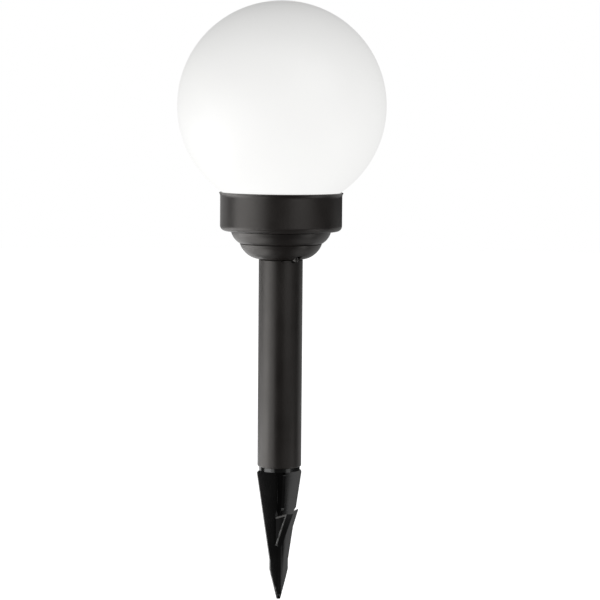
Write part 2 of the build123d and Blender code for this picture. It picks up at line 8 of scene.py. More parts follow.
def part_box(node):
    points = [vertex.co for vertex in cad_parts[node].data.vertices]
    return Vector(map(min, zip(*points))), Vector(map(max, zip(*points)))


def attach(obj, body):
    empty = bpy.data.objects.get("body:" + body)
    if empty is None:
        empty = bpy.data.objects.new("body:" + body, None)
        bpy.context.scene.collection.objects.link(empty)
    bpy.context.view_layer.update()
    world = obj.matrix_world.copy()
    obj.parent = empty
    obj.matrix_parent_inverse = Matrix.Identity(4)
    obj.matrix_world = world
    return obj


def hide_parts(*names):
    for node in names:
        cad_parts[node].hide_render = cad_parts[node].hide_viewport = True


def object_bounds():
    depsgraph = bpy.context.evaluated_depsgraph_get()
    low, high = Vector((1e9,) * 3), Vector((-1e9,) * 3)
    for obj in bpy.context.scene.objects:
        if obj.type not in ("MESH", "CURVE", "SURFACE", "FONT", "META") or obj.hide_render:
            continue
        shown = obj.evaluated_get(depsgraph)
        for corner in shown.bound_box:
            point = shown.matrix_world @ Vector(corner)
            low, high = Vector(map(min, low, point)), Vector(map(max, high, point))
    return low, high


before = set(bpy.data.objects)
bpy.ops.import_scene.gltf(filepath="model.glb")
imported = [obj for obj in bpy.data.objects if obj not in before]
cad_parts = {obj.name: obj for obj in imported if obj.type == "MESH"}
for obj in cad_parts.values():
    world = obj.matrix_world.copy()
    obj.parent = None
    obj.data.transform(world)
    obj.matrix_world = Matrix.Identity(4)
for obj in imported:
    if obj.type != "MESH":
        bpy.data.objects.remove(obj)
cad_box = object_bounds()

# Solar spike light: an opal globe in a dark collar, on a stepped base, a pole and a ground spike.
# Metres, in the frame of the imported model: +Z up, the front faces -Y, ground level at z = 0.

MM = 0.001

# Camera, in metres, degrees and millimetres of lens and sensor
CAMERA_PLACE = (0.01407, -1.5764, 0.2582)
CAMERA_TILT = 4.971
CAMERA_ROLL = 0.468
CAMERA_LENS = 131.6
CAMERA_SENSOR = 36.0
CAMERA_NEAR = 0.05
CAMERA_FAR = 30

# Floor and light, in metres
FLOOR_RADIUS = 4.0
FLOOR_SEGMENTS = 96
FLOOR_GAP = 0.1 * MM
FLOOR_GLOW = 1.1
AMBIENT = 0.04
LIGHT_AIM = 0.15
LIGHT_DISTANCE = 1.5

# Turned pieces
TURN_SEGMENTS = 160
SCREW_SEGMENTS = 32
CORNER_STEPS = 5

# Rounded copies of CAD nodes, in degrees
SHARP_ANGLE = 35
FLAT_ANGLE = 0.5

# Clean meshes, in metres and degrees
MERGE_GAP = 1e-6
SLIVER = 1e-7
SMOOTH_ANGLE = 40

# Globe, in millimetres, and the strength and rise of its painted glow: light painted into the opal,
# brighter towards the foot and darker at the top
GLOBE_WALL = 1.6
GLOBE_ARC_STEPS = 72
NECK_RADIUS = 39.6
NECK_FILLET = 2.0
MOUTH_EDGE = 0.4
PAINTED_GLOW = 0.865
PAINTED_GLOW_RISE = 0.6

# Gasket, in millimetres
GASKET_WIDTH = 2.4
GASKET_EDGE = 0.5

# Screws, in millimetres: dome and tip as shares of the head's height and of the radius, the turn from
# one screw to the next in radians, and a ring of screws by its count, radius and first angle in degrees
SCREW_RADIUS = 1.25
SCREW_HEAD = (2.4, 1.6)
SMALL_SCREW_RADIUS = 1.0
SMALL_HEAD = (1.8, 1.2)
THREAD_PITCH = 0.8
THREAD_DEPTH = 0.22
THREAD_STEPS = 6
RECESS_WIDTH = 0.7
RECESS_DEPTH = 0.7
RECESS_MARGIN = 0.8
RECESS_OVERRUN = 1.0
HEAD_DOME = 0.7
SCREW_EDGE = 0.1
SCREW_TIP = 0.35
SCREW_TURN = 0.7
BASE_SCREWS = (4, 30.2, 45)
DECK_SCREWS = (3, 33.0, 30)
BOARD_SCREW_OFFSET = 10.0

# Solar cells, in millimetres
CELL_COUNT = 4
CELL_GAP = 0.8
FINGER_PITCH = 1.6
FINGER_WIDTH = 0.12
FINGER_HEIGHT = 0.04
FINGER_MARGIN = 0.4
BUSBAR_WIDTH = 0.9
BUSBAR_HEIGHT = 1.6 * FINGER_HEIGHT
BUSBAR_MARGIN = 0.6

# Driver chip's legs, in millimetres, and their rise as a share of the chip's height
LEG_PITCH = 1.27
LEG_COUNT = 4
LEG_WIDTH = 0.42
LEG_REACH = 0.9
LEG_RISE = 0.45
LEG_THICKNESS = 0.18

# Ground spike, in millimetres and degrees: taper by height, thinning by reach
FIN_TURN = 18
FIN_COUNT = 4
FIN_REACH = 17.1
FIN_TOP = -2.59
FIN_TAPER = 0.155
FIN_ROOT_HALF = 1.5
FIN_THINNING = 0.041
FIN_STRIPS = 16
CORE_STRIPS = 2
FIN_ROWS = 30
FIN_CURL = 4.0
ROOT_SPAN = 6.4
ROOT_BAND = (2.1, 2.36)
ROOT_CORNER = 2.038
SPIKE_EDGE = 0.7
FRONT_FIN = 3.0
FRONT_EDGE_SHARE = 0.3

# Ground spike's front barb, in millimetres and degrees: heights from the ground, swing by reach
BARB_ANGLE = -72
BARB_TOP = -33.1
BARB_FOOT = -58.6
BARB_REACH = 14.6
BARB_ROOT = 1.82
BARB_NOTCH = -37.3
BARB_MARGIN = 0.1
BARB_HALF = 2.7
BARB_SWING = 0.29
BARB_PIVOT = 3.7
# Painted highlight on the front barb: its width along the top, the cut across the barb and the least
# facing of its faces
HIGHLIGHT_WIDTH = 1.3
HIGHLIGHT_EDGE = -0.65
HIGHLIGHT_FACING = 0.9

# Inductor's winding, in millimetres, and its fit as a share of the wire's radius
WINDING_WIRE = 0.3
WINDING_GROOVE = 1.0
WINDING_FIT = 1.05
WINDING_LAYERS = 3
WINDING_TURNS = 3
WINDING_SIDES = 10
WINDING_STEPS = 40


# Node trees

def add_node(tree, kind, inputs=None, **settings):
    """New node with its settings, and its inputs, each a value or a socket to link from."""
    node = tree.nodes.new(kind)
    for name, value in settings.items():
        setattr(node, name, value)
    for socket, value in (inputs or {}).items():
        if isinstance(value, bpy.types.NodeSocket):
            tree.links.new(value, node.inputs[socket])
        else:
            node.inputs[socket].default_value = value
    return node


def new_object(name, data):
    """Object of a mesh, light or camera, put in the scene."""
    made = bpy.data.objects.new(name, data)
    bpy.context.scene.collection.objects.link(made)
    return made


def made_plain(piece):
    """Applies a piece's modifiers, so that it is a plain mesh."""
    graph = bpy.context.evaluated_depsgraph_get()
    mesh = bpy.data.meshes.new_from_object(piece.evaluated_get(graph), depsgraph=graph)
    worked = piece.data
    piece.modifiers.clear()
    piece.data = mesh
    bpy.data.meshes.remove(worked)
    mesh.name = piece.name
    return piece


def put_tree(piece, tree, values):
    """Adds a Geometry Nodes modifier and sets its named inputs."""
    modifier = piece.modifiers.new(tree.name, "NODES")
    modifier.node_group = tree
    for item in tree.interface.items_tree:
        if item.in_out == "INPUT" and item.name in values:
            modifier[item.identifier] = values[item.name]


def new_tree(name, inputs):
    """Geometry Nodes tree with a geometry input and output and the named inputs."""
    tree = bpy.data.node_groups.new(name, "GeometryNodeTree")
    tree.interface.new_socket("Geometry", in_out="INPUT", socket_type="NodeSocketGeometry")
    for label, kind in inputs.items():
        tree.interface.new_socket(label, in_out="INPUT", socket_type=kind)
    tree.interface.new_socket("Geometry", in_out="OUTPUT", socket_type="NodeSocketGeometry")
    return tree, tree.nodes.new("NodeGroupInput").outputs


def end_tree(tree, geometry, material):
    """Last nodes of a tree: plain faces of one material."""
    real = add_node(tree, "GeometryNodeRealizeInstances", {"Geometry": geometry}).outputs[0]
    dressed = add_node(tree, "GeometryNodeSetMaterial", {
        "Geometry": real, "Material": material,
    }).outputs[0]
    tree.links.new(dressed, tree.nodes.new("NodeGroupOutput").inputs[0])
    return tree


def whole(tree, operation, first, second):
    """Sum on whole numbers."""
    terms = {0: first, 1: second}
    return add_node(tree, "FunctionNodeIntegerMath", terms, operation=operation).outputs[0]


def sum_of(tree, operation, *terms):
    """Sum on real numbers."""
    return add_node(tree, "ShaderNodeMath", dict(enumerate(terms)), operation=operation).outputs[0]


def named_value(tree, name):
    """Number that each point carries under a name."""
    node = add_node(tree, "GeometryNodeInputNamedAttribute", {"Name": name}, data_type="FLOAT")
    return node.outputs[0]


def turning_tree():
    """Turns a profile about the Z axis: corners rounded by corner_radius, thread cut by thread_depth."""
    tree, given = new_tree("turned_from_profile", {
        "Segments": "NodeSocketInt",
        "Corner Steps": "NodeSocketInt",
        "Closed": "NodeSocketInt",
        "Thread Pitch": "NodeSocketFloat",
        "Material": "NodeSocketMaterial",
    })
    line = add_node(tree, "GeometryNodeMeshToCurve", {"Mesh": given["Geometry"]}).outputs[0]
    radius = named_value(tree, "corner_radius")
    is_corner = add_node(
        tree, "FunctionNodeCompare", {0: radius, 1: 0.0}, operation="GREATER_THAN").outputs[0]
    count = add_node(tree, "GeometryNodeSwitch", {
        "Switch": is_corner, "False": 1, "True": given["Corner Steps"],
    }, input_type="INT").outputs[0]
    profile = add_node(tree, "GeometryNodeFilletCurve", {
        "Curve": line, "Radius": radius, "Count": count, "Limit Radius": True,
    }, mode="POLY").outputs[0]
    size = add_node(tree, "GeometryNodeAttributeDomainSize", {"Geometry": profile}, component="CURVE")
    points = size.outputs["Point Count"]
    columns = whole(tree, "ADD", given["Segments"], 1)
    grid = add_node(tree, "GeometryNodeMeshGrid", {
        "Vertices X": whole(tree, "ADD", points, given["Closed"]),
        "Vertices Y": columns,
    }).outputs["Mesh"]
    index = add_node(tree, "GeometryNodeInputIndex").outputs[0]
    source = whole(tree, "MODULO", whole(tree, "DIVIDE_FLOOR", index, columns), points)
    share = sum_of(tree, "DIVIDE", whole(tree, "MODULO", index, columns), given["Segments"])
    position = add_node(tree, "GeometryNodeInputPosition").outputs[0]
    place = add_node(tree, "GeometryNodeSampleIndex", {
        "Geometry": profile, "Value": position, "Index": source,
    }, data_type="FLOAT_VECTOR", domain="POINT").outputs[0]
    depth = add_node(tree, "GeometryNodeSampleIndex", {
        "Geometry": profile, "Value": named_value(tree, "thread_depth"), "Index": source,
    }, data_type="FLOAT", domain="POINT").outputs[0]
    split = add_node(tree, "ShaderNodeSeparateXYZ", {0: place}).outputs
    turns = sum_of(tree, "ADD", sum_of(tree, "DIVIDE", split["Z"], given["Thread Pitch"]), share)
    flank = sum_of(tree, "MULTIPLY", sum_of(tree, "PINGPONG", turns, 0.5), 2.0)
    reach = sum_of(tree, "SUBTRACT", split["X"], sum_of(tree, "MULTIPLY", depth, flank))
    cut = add_node(tree, "ShaderNodeCombineXYZ", {"X": reach, "Z": split["Z"]}).outputs[0]
    swung = add_node(tree, "ShaderNodeVectorRotate", {
        "Vector": cut, "Angle": sum_of(tree, "MULTIPLY", share, 2 * pi),
    }, rotation_type="Z_AXIS").outputs[0]
    shaped = add_node(tree, "GeometryNodeSetPosition", {"Geometry": grid, "Position": swung}).outputs[0]
    closed = add_node(tree, "GeometryNodeMergeByDistance", {
        "Geometry": shaped, "Distance": MERGE_GAP,
    }).outputs[0]
    return end_tree(tree, closed, given["Material"])


def setting_out_tree():
    """Sets a copy of one piece at every point, turned about Z by the point's turn."""
    tree, given = new_tree("set_out_at_points", {
        "Piece": "NodeSocketObject",
        "Material": "NodeSocketMaterial",
    })
    pattern = add_node(tree, "GeometryNodeObjectInfo", {"Object": given["Piece"]}).outputs["Geometry"]
    turn = add_node(tree, "ShaderNodeCombineXYZ", {"Z": named_value(tree, "turn")}).outputs[0]
    copies = add_node(tree, "GeometryNodeInstanceOnPoints", {
        "Points": given["Geometry"], "Instance": pattern, "Rotation": turn,
    }).outputs[0]
    return end_tree(tree, copies, given["Material"])


TURNED = turning_tree()
SET_OUT = setting_out_tree()


# Shapes

def add_values(mesh, name, values):
    """Gives each point of a mesh a number under a name."""
    mesh.attributes.new(name, "FLOAT", "POINT").data.foreach_set("value", values)


def tidy_mesh(mesh):
    """Removes loose edges, turns a closed mesh right side out and smooths it up to an angle."""
    work = bmesh.new()
    work.from_mesh(mesh)
    loose = [edge for edge in work.edges if not edge.link_faces]
    bmesh.ops.delete(work, geom=loose, context="EDGES")
    bmesh.ops.dissolve_degenerate(work, dist=SLIVER, edges=work.edges)
    if work.calc_volume(signed=True) < 0:
        bmesh.ops.reverse_faces(work, faces=work.faces)
    work.to_mesh(mesh)
    work.free()
    mesh.shade_smooth()
    mesh.set_sharp_from_angle(angle=radians(SMOOTH_ANGLE))


def turned_piece(name, profile, finish, closed=True, segments=TURN_SEGMENTS, thread=None):
    """Piece turned about the Z axis from (radius, height, corner radius) points in millimetres."""
    mesh = bpy.data.meshes.new(name)
    count = len(profile)
    edges = [(step, (step + 1) % count) for step in range(count if closed else count - 1)]
    mesh.from_pydata([(radius * MM, 0, height * MM) for radius, height, _ in profile], edges, [])
    add_values(mesh, "corner_radius", [corner * MM for *_, corner in profile])
    add_values(mesh, "thread_depth", [depth * MM for depth in thread or [0] * count])
    piece = new_object(name, mesh)
    put_tree(piece, TURNED, {
        "Segments": segments,
        "Corner Steps": CORNER_STEPS,
        "Closed": int(closed),
        "Thread Pitch": THREAD_PITCH * MM,
        "Material": finish,
    })
    made_plain(piece)
    tidy_mesh(piece.data)
    return piece


def set_out(name, pattern, places, finish):
    """Copies of a pattern at (x, y, z, turn) places in metres, as one piece; the pattern is removed."""
    mesh = bpy.data.meshes.new(name)
    mesh.from_pydata([place[:3] for place in places], [], [])
    add_values(mesh, "turn", [place[3] for place in places])
    piece = new_object(name, mesh)
    put_tree(piece, SET_OUT, {"Piece": pattern, "Material": finish})
    made_plain(piece)
    bpy.data.objects.remove(pattern)
    return piece


def boxes_mesh(name, boxes):
    """Mesh of plain boxes, each given by its lowest and highest corner in millimetres."""
    mesh = bpy.data.meshes.new(name)
    work = bmesh.new()
    for low, high in boxes:
        middle = [(a + b) / 2 * MM for a, b in zip(low, high)]
        size = [(b - a) * MM for a, b in zip(low, high)]
        place = Matrix.Translation(middle) @ Matrix.Diagonal((*size, 1))
        bmesh.ops.create_cube(work, size=1, matrix=place)
    work.to_mesh(mesh)
    work.free()
    return mesh


def weigh_edges(mesh, share):
    """Sets how much of the rounding each sharp outer edge gets, by a rule on the edge's middle."""
    work = bmesh.new()
    work.from_mesh(mesh)
    weights = work.edges.layers.float.new("bevel_weight_edge")
    for edge in work.edges:
        if edge.is_convex and edge.calc_face_angle(0) > radians(SHARP_ANGLE):
            edge[weights] = share((edge.verts[0].co + edge.verts[1].co) / 2)
    work.to_mesh(mesh)
    work.free()


def rounded(piece, width, segments=3, share=None):
    """Rounds a piece's sharp edges, evenly or by a rule, and applies the rounding."""
    bevel = piece.modifiers.new("rounding", "BEVEL")
    bevel.width = width * MM
    bevel.segments = segments
    if share:
        weigh_edges(piece.data, share)
        bevel.limit_method = "WEIGHT"
    else:
        bevel.limit_method = "ANGLE"
        bevel.angle_limit = radians(SHARP_ANGLE)
    bevel.harden_normals = True
    bevel.use_clamp_overlap = True
    made_plain(piece)
    return piece


def rounded_copy(name, node, width, finish, segments=3, share=None, reshape=None):
    """Copy of a CAD node, reshaped if asked, with its sharp edges rounded."""
    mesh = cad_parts[node].data.copy()
    mesh.name = name
    work = bmesh.new()
    work.from_mesh(mesh)
    bmesh.ops.remove_doubles(work, verts=work.verts, dist=MERGE_GAP)
    bmesh.ops.dissolve_limit(work, angle_limit=radians(FLAT_ANGLE), verts=work.verts, edges=work.edges)
    if reshape:
        reshape(work)
    work.to_mesh(mesh)
    work.free()
    mesh.materials.clear()
    mesh.materials.append(finish)
    mesh.shade_smooth()
    mesh.set_sharp_from_angle(angle=radians(SHARP_ANGLE))
    return rounded(new_object(name, mesh), width, segments, share)


def arc(centre, wide, tall, start, end, steps):
    """Points in millimetres on an arc about a height on the axis, between two angles from the level."""
    angles = [start + (end - start) * step / steps for step in range(steps + 1)]
    return [(wide * cos(angle), centre + tall * sin(angle), 0) for angle in angles]


def stand_in(piece, body, slot, *nodes):
    """Lets a piece ride on a body in place of the CAD nodes that it stands for."""
    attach(piece, body)
    if nodes:
        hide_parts(*nodes)


# Finishes

class Finish:
    """Node material of one finish, with the patterns that several finishes share."""

    def __init__(self, name):
        """Empty node material whose patterns read Object coordinates."""
        self.material = bpy.data.materials.new(name + "_finish")
        self.material.use_nodes = True
        self.tree = self.material.node_tree
        self.shader = self.tree.nodes["Principled BSDF"]
        self.place = self.add("ShaderNodeTexCoord").outputs["Object"]

    def add(self, kind, inputs=None, **settings):
        """New node of the finish."""
        return add_node(self.tree, kind, inputs, **settings)

    def put(self, socket, value):
        """Sets an input of the shader, or links it to a pattern."""
        if isinstance(value, bpy.types.NodeSocket):
            self.tree.links.new(value, self.shader.inputs[socket])
        else:
            self.shader.inputs[socket].default_value = value

    def scaled(self, size, stretch=(1, 1, 1)):
        """Object coordinates counted in patches of a size, drawn out along the axes by stretch."""
        scale = [1 / (size * factor) for factor in stretch]
        return self.add("ShaderNodeMapping", {"Vector": self.place, "Scale": scale}).outputs[0]

    def noise(self, size, detail=2.0, stretch=(1, 1, 1)):
        """Blotches of about the given size."""
        inputs = {"Vector": self.scaled(size, stretch), "Scale": 1.0, "Detail": detail}
        return self.add("ShaderNodeTexNoise", inputs).outputs[0]

    def grains(self, size):
        """Flat patches of random tint, as in cast silicon."""
        inputs = {"Vector": self.scaled(size), "Scale": 1.0}
        tint = self.add("ShaderNodeTexVoronoi", inputs).outputs["Color"]
        return self.add("ShaderNodeSeparateColor", {0: tint}).outputs[0]

    def height(self, low, high):
        """0 at one height and 1 at the other, in metres."""
        level = self.add("ShaderNodeSeparateXYZ", {0: self.place}).outputs["Z"]
        return self.spread(level, 0, 1, low, high)

    def spread(self, value, low, high, start=0.35, end=0.65):
        """Spreads a pattern's start..end over low..high."""
        return self.add("ShaderNodeMapRange", {0: value, 1: start, 2: end, 3: low, 4: high}).outputs[0]

    def mix(self, share, first, second):
        """Colour between two others."""
        inputs = {0: share}
        for socket, value in ((6, first), (7, second)):
            inputs[socket] = value if isinstance(value, bpy.types.NodeSocket) else (*value, 1.0)
        return self.add("ShaderNodeMix", inputs, data_type="RGBA").outputs[2]

    def edges(self, radius):
        """1 along sharp edges, falling to 0 on the flat."""
        rounded_normal = self.add("ShaderNodeBevel", {"Radius": radius}, samples=6).outputs[0]
        flat = self.add("ShaderNodeNewGeometry").outputs["Normal"]
        match = self.add("ShaderNodeVectorMath", {0: rounded_normal, 1: flat}, operation="DOT_PRODUCT")
        return self.spread(match.outputs["Value"], 1.0, 0.0, 0.75, 0.99)

    def painted_highlight_mask(self):
        """1 where the piece is marked for a painted highlight, broken up by fine scratches."""
        mark = self.add("ShaderNodeAttribute", attribute_name="scuff").outputs["Fac"]
        scratch_breakup = self.spread(self.noise(0.0015, 3), 0.6, 1.0)
        return self.add("ShaderNodeMath", {0: mark, 1: scratch_breakup}, operation="MULTIPLY").outputs[0]

    def bump(self, height, depth, under=None):
        """Surface raised by a pattern, in metres, on top of another bump."""
        inputs = {"Height": height, "Distance": depth, "Strength": 1.0}
        if under:
            inputs["Normal"] = under
        return self.add("ShaderNodeBump", inputs).outputs[0]


WHITE = (1.0, 1.0, 1.0)
# Pale grey painted as a highlight on the front barb's top and slanted edge
PAINTED_HIGHLIGHT_GREY = (0.24, 0.235, 0.23)


def shaded(colour, factor):
    """Colour made darker or paler by a factor."""
    return tuple(channel * factor for channel in colour)


def opal_finish():
    """Blown opal plastic: milky, satin, very slightly uneven, with a painted glow that stands in for
    light, brighter towards its foot and darker at the top.
    """
    finish = Finish("opal_plastic")
    low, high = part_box("globe_diffuser")
    cloud = finish.noise(0.045, 3)
    skin = finish.noise(0.006, 2)
    milk = finish.mix(finish.spread(cloud, 0, 1), (0.44, 0.44, 0.435), (0.46, 0.46, 0.455))
    finish.put("Base Color", milk)
    finish.put("Roughness", finish.spread(cloud, 0.40, 0.48))
    finish.put("Normal", finish.bump(skin, 0.000012))
    finish.put("IOR", 1.49)
    finish.put("Specular IOR Level", 0.4)
    finish.put("Coat Weight", 0.12)
    finish.put("Coat Roughness", 0.3)
    # Painted light: the glow rises from the top to the foot and stands in for light falling on the globe
    # from below
    depth = finish.height(high.z, low.z)
    painted_glow = finish.add("ShaderNodeMath", {0: depth, 1: PAINTED_GLOW_RISE}, operation="POWER").outputs[0]
    finish.put("Emission Color", finish.mix(painted_glow, (0.49, 0.49, 0.485), (1.0, 1.0, 0.99)))
    finish.put("Emission Strength", PAINTED_GLOW)
    return finish.material


def moulded_finish(
        name, colour, roughness, grain, depth, specular=0.5, wear=1.6, stretch=(1, 1, 1), tint=WHITE):
    """Moulded plastic or rubber: a fine grain, smudges in the gloss, paler rubbed edges and a painted
    highlight where the piece is marked for one.
    """
    finish = Finish(name)
    cloud = finish.noise(0.025, 4)
    speck = finish.noise(grain, 2, stretch)
    body = finish.mix(finish.spread(cloud, 0, 1), shaded(colour, 0.88), shaded(colour, 1.12))
    body = finish.mix(finish.spread(speck, 0, 0.35, 0.5, 0.75), body, shaded(colour, 1.5))
    body = finish.mix(finish.edges(0.0004), body, shaded(colour, wear))
    # Painted highlight: pale grey mixed in where a piece is marked for it, the front barb's top and
    # slanted edge
    finish.put("Base Color", finish.mix(finish.painted_highlight_mask(), body, PAINTED_HIGHLIGHT_GREY))
    finish.put("Roughness", finish.spread(cloud, roughness - 0.04, roughness + 0.05))
    wave = finish.bump(finish.noise(0.012, 1), 0.00002)
    finish.put("Normal", finish.bump(speck, depth, wave))
    finish.put("Specular IOR Level", specular)
    finish.put("Specular Tint", (*tint, 1.0))
    return finish.material


def metal_finish(name, colour, roughness, stretch=(1, 1, 1)):
    """Plated or drawn metal with fine working marks."""
    finish = Finish(name)
    cloud = finish.noise(0.004, 4)
    marks = finish.noise(0.00025, 2, stretch)
    finish.put("Base Color", finish.mix(finish.spread(cloud, 0, 1), shaded(colour, 0.85), colour))
    finish.put("Roughness", finish.spread(marks, roughness - 0.06, roughness + 0.1))
    finish.put("Normal", finish.bump(marks, 0.000004))
    finish.put("Metallic", 1.0)
    return finish.material


def board_finish():
    """Green solder mask over copper tracks, which show as paler bands."""
    finish = Finish("board_green")
    place = finish.scaled(0.0024)
    tracks = finish.add("ShaderNodeTexBrick", {
        "Vector": place, "Scale": 1.0, "Mortar Size": 0.09, "Brick Width": 1.7, "Row Height": 0.6,
    }).outputs["Fac"]
    weave = finish.noise(0.0006, 2)
    mask = finish.mix(tracks, (0.006, 0.07, 0.022), (0.012, 0.12, 0.035))
    finish.put("Base Color", finish.mix(finish.spread(weave, 0, 0.3), mask, (0.02, 0.15, 0.05)))
    finish.put("Roughness", finish.spread(weave, 0.28, 0.4))
    finish.put("Normal", finish.bump(tracks, 0.00003, finish.bump(weave, 0.000005)))
    return finish.material


def silicon_finish():
    """Cast silicon: dark blue grains of slightly different tints."""
    finish = Finish("silicon_blue")
    grain = finish.grains(0.0035)
    fine = finish.noise(0.0005, 2)
    finish.put("Base Color", finish.mix(grain, (0.006, 0.012, 0.045), (0.012, 0.028, 0.10)))
    finish.put("Roughness", finish.spread(grain, 0.16, 0.3, 0, 1))
    finish.put("Normal", finish.bump(fine, 0.000003))
    finish.put("Coat Weight", 0.3)
    return finish.material


def clear_finish(name, tint, roughness, transmission):
    """Clear or milky cast resin with faint flow marks."""
    finish = Finish(name)
    flow = finish.noise(0.008, 3)
    finish.put("Base Color", finish.mix(finish.spread(flow, 0, 1), shaded(tint, 0.96), tint))
    finish.put("Roughness", finish.spread(flow, roughness, roughness + 0.06))
    finish.put("Normal", finish.bump(flow, 0.00001))
    finish.put("Transmission Weight", transmission)
    finish.put("IOR", 1.5)
    return finish.material


def copper_finish():
    """Enamelled copper wire."""
    finish = Finish("copper_wire")
    cloud = finish.noise(0.0012, 3)
    enamel = finish.mix(finish.spread(cloud, 0, 1), (0.52, 0.17, 0.06), (0.68, 0.26, 0.10))
    finish.put("Base Color", enamel)
    finish.put("Roughness", finish.spread(cloud, 0.2, 0.34))
    finish.put("Metallic", 1.0)
    finish.put("Coat Weight", 0.5)
    return finish.material


DARK_GREY = (0.0135, 0.0108, 0.0098)
WARM_GLOSS = (1.0, 0.965, 0.93)
BLACK = (0.0035, 0.0034, 0.0034)
ALONG_POLE = (1, 1, 40)

# Moulded: colour, roughness, size and depth of the grain in metres, gloss. Metal: colour and roughness.
finishes = {
    "opal_plastic": opal_finish(),
    "dark_plastic": moulded_finish(
        "dark_plastic", DARK_GREY, 0.36, 0.0006, 0.000012, 1.0, tint=WARM_GLOSS),
    "drawn_plastic": moulded_finish(
        "drawn_plastic", DARK_GREY, 0.36, 0.0005, 0.000008, 1.0, stretch=ALONG_POLE, tint=WARM_GLOSS),
    "black_plastic": moulded_finish("black_plastic", BLACK, 0.15, 0.0012, 0.000004, 1.0),
    "inner_plastic": moulded_finish("inner_plastic", (0.03, 0.03, 0.031), 0.5, 0.0005, 0.000015),
    "screw_steel": metal_finish("screw_steel", (0.62, 0.61, 0.58), 0.3),
    "pin_steel": metal_finish("pin_steel", (0.34, 0.33, 0.32), 0.3),
    "gasket_rubber": moulded_finish("gasket_rubber", (0.018, 0.018, 0.019), 0.75, 0.0004, 0.00002, 0.3),
    "board_green": board_finish(),
    "silicon_blue": silicon_finish(),
    "clear_resin": clear_finish("clear_resin", (0.97, 0.98, 0.96), 0.04, 1.0),
    "led_epoxy": clear_finish("led_epoxy", (0.95, 0.94, 0.9), 0.12, 0.85),
    "tinned_metal": metal_finish("tinned_metal", (0.72, 0.71, 0.68), 0.28),
    "chip_black": moulded_finish("chip_black", (0.012, 0.012, 0.013), 0.55, 0.0002, 0.00001),
    "ferrite": moulded_finish("ferrite", (0.022, 0.021, 0.021), 0.6, 0.0003, 0.00002),
    "ceramic_tan": moulded_finish("ceramic_tan", (0.42, 0.29, 0.16), 0.4, 0.0003, 0.000008, wear=1.1),
    "switch_white": moulded_finish("switch_white", (0.7, 0.7, 0.67), 0.4, 0.0004, 0.000008, wear=1.05),
    "battery_can": metal_finish("battery_can", (0.62, 0.6, 0.57), 0.24, (30, 1, 1)),
    "sleeve_green": moulded_finish(
        "sleeve_green", (0.015, 0.19, 0.06), 0.26, 0.0008, 0.00001, stretch=(12, 1, 1)),
    "wire_red": moulded_finish("wire_red", (0.42, 0.012, 0.01), 0.4, 0.0005, 0.000008, wear=1.2),
    "wire_black": moulded_finish("wire_black", (0.01, 0.01, 0.01), 0.42, 0.0005, 0.000008),
    "wire_white": moulded_finish("wire_white", (0.68, 0.67, 0.63), 0.42, 0.0005, 0.000008, wear=1.1),
    "copper_wire": copper_finish(),
}


def dress_nodes():
    """Gives the CAD nodes that are shown as they are their finishes."""
    for finish, *nodes in (
        ("drawn_plastic", "pole_tube"),
        ("dark_plastic", "stepped_base", "collar_housing"),
        ("pin_steel", "locating_pin"),
        ("opal_plastic", "bayonet_ring"),
        ("inner_plastic", "solar_deck"),
        ("board_green", "circuit_board"),
        ("silicon_blue", "solar_cells"),
        ("led_epoxy", "led_lenses"),
        ("tinned_metal", "led_leads", "battery_spring"),
        ("ferrite", "inductor"),
        ("battery_can", "battery_cell"),
        ("sleeve_green", "battery_sleeve"),
        ("wire_red", "solar_wire_red", "battery_wire_red"),
        ("wire_black", "solar_wire_black", "battery_wire_black"),
        ("wire_white", "led_wires"),
    ):
        for node in nodes:
            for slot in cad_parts[node].material_slots:
                slot.material = finishes[finish]


# Globe

def blow_globe():
    """Opal globe with its neck, turned in one wall."""
    low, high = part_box("globe_diffuser")
    mouth = low.z / MM
    top = high.z / MM
    wide = min(high.x, high.y, -low.x, -low.y) / MM
    mean = (high.x - low.x + high.y - low.y) / 4 / MM
    tall = max(mean, wide)
    centre = top - tall
    bore = NECK_RADIUS - GLOBE_WALL
    foot = -acos(NECK_RADIUS / wide)
    inner_foot = -acos(bore / (wide - GLOBE_WALL))
    outside = arc(centre, wide, tall, foot, pi / 2, GLOBE_ARC_STEPS)
    inside = arc(centre, wide - GLOBE_WALL, tall - GLOBE_WALL, pi / 2, inner_foot, GLOBE_ARC_STEPS)
    outside[0] = (*outside[0][:2], NECK_FILLET)
    profile = [(NECK_RADIUS, mouth, MOUTH_EDGE), *outside, *inside, (bore, mouth, MOUTH_EDGE)]
    globe = turned_piece("opal_globe", profile, finishes["opal_plastic"])
    stand_in(globe, "globe", "opal_plastic", "globe_diffuser")


# Seal

def cut_gasket():
    """Flat rubber ring with rounded edges."""
    low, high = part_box("globe_gasket")
    outer = min(high.x, high.y, -low.x, -low.y) / MM
    inner = outer - GASKET_WIDTH
    bottom, top = low.z / MM, high.z / MM
    corners = [(inner, bottom), (outer, bottom), (outer, top), (inner, top)]
    profile = [(radius, height, GASKET_EDGE) for radius, height in corners]
    gasket = turned_piece("neck_gasket", profile, finishes["gasket_rubber"])
    stand_in(gasket, "head", "gasket_rubber", "globe_gasket")


# Screws

